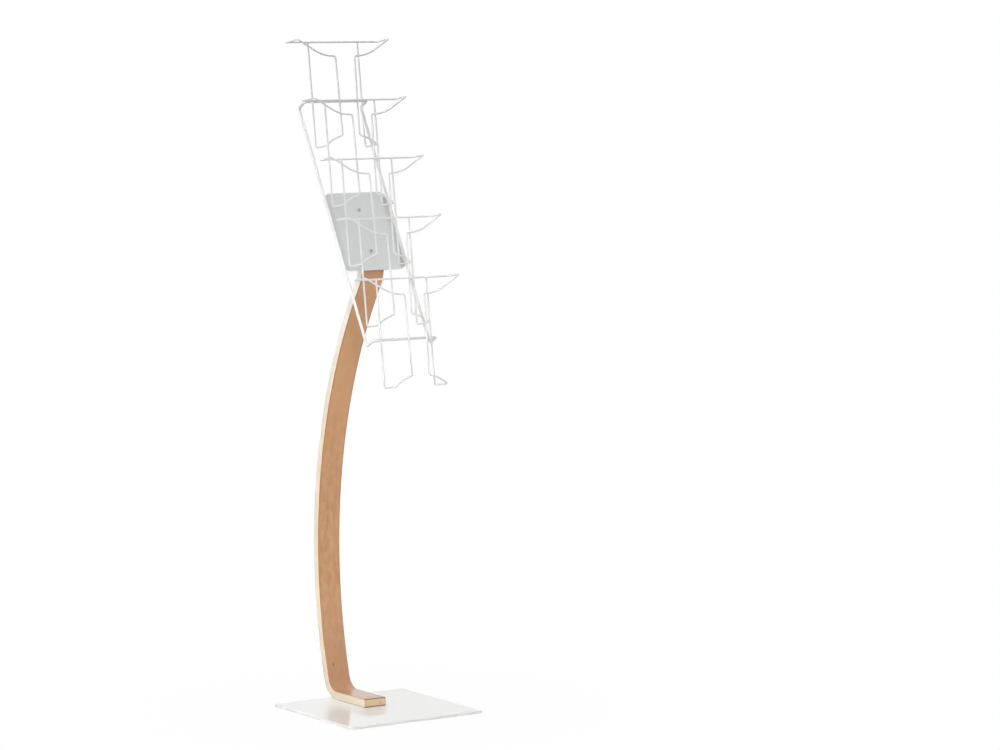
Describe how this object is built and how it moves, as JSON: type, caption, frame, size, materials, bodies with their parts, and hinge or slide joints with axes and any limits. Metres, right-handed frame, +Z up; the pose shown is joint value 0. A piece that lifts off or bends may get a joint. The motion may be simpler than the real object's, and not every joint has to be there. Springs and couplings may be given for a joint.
{
  "type": "literature stand",
  "caption": "Free-standing literature stand: a flat square base, a bowed laminated wood strip and a sloping rack of stepped wire pockets for upright leaflets.",
  "frame": {"origin": "on the floor, under the middle of the whole stand's box", "axes": "+Z up, -Y towards the front, where the pockets face and the foot points, +X across the pockets, to the right as seen from the front"},
  "size_m": [0.35, 0.4408, 1.5499],
  "materials": {
    "base_white": "gloss white lacquer",
    "pad_rubber": "matt",
    "laminated_wood": "satin clear lacquer on brown stained faces, pale laminated edges",
    "screw_zinc": "zinc plated",
    "insert_brass": "plain",
    "plate_grey": "satin silver grey",
    "wire_white": "gloss white powder coat"
  },
  "bodies": {
    "root": {"base_plate": "base_white", "base_pad_1": "pad_rubber", "base_pad_2": "pad_rubber", "base_pad_3": "pad_rubber", "base_pad_4": "pad_rubber", "leg": "laminated_wood", "foot_screw_1": "screw_zinc", "foot_screw_2": "screw_zinc", "foot_screw_3": "screw_zinc", "foot_screw_4": "screw_zinc", "foot_insert_1": "insert_brass", "foot_insert_2": "insert_brass", "foot_insert_3": "insert_brass", "foot_insert_4": "insert_brass", "mounting_plate": "plate_grey", "plate_screw_lower": "screw_zinc", "plate_screw_upper": "screw_zinc", "wire_frame": "wire_white", "pocket_1_back_bar": "wire_white", "pocket_1_left_loop": "wire_white", "pocket_1_right_loop": "wire_white", "pocket_2_back_bar": "wire_white", "pocket_2_left_loop": "wire_white", "pocket_2_right_loop": "wire_white", "pocket_3_back_bar": "wire_white", "pocket_3_left_loop": "wire_white", "pocket_3_right_loop": "wire_white", "pocket_4_back_bar": "wire_white", "pocket_4_left_loop": "wire_white", "pocket_4_right_loop": "wire_white", "pocket_5_back_bar": "wire_white", "pocket_5_left_loop": "wire_white", "pocket_5_right_loop": "wire_white"}
  },
  "joints": []
}
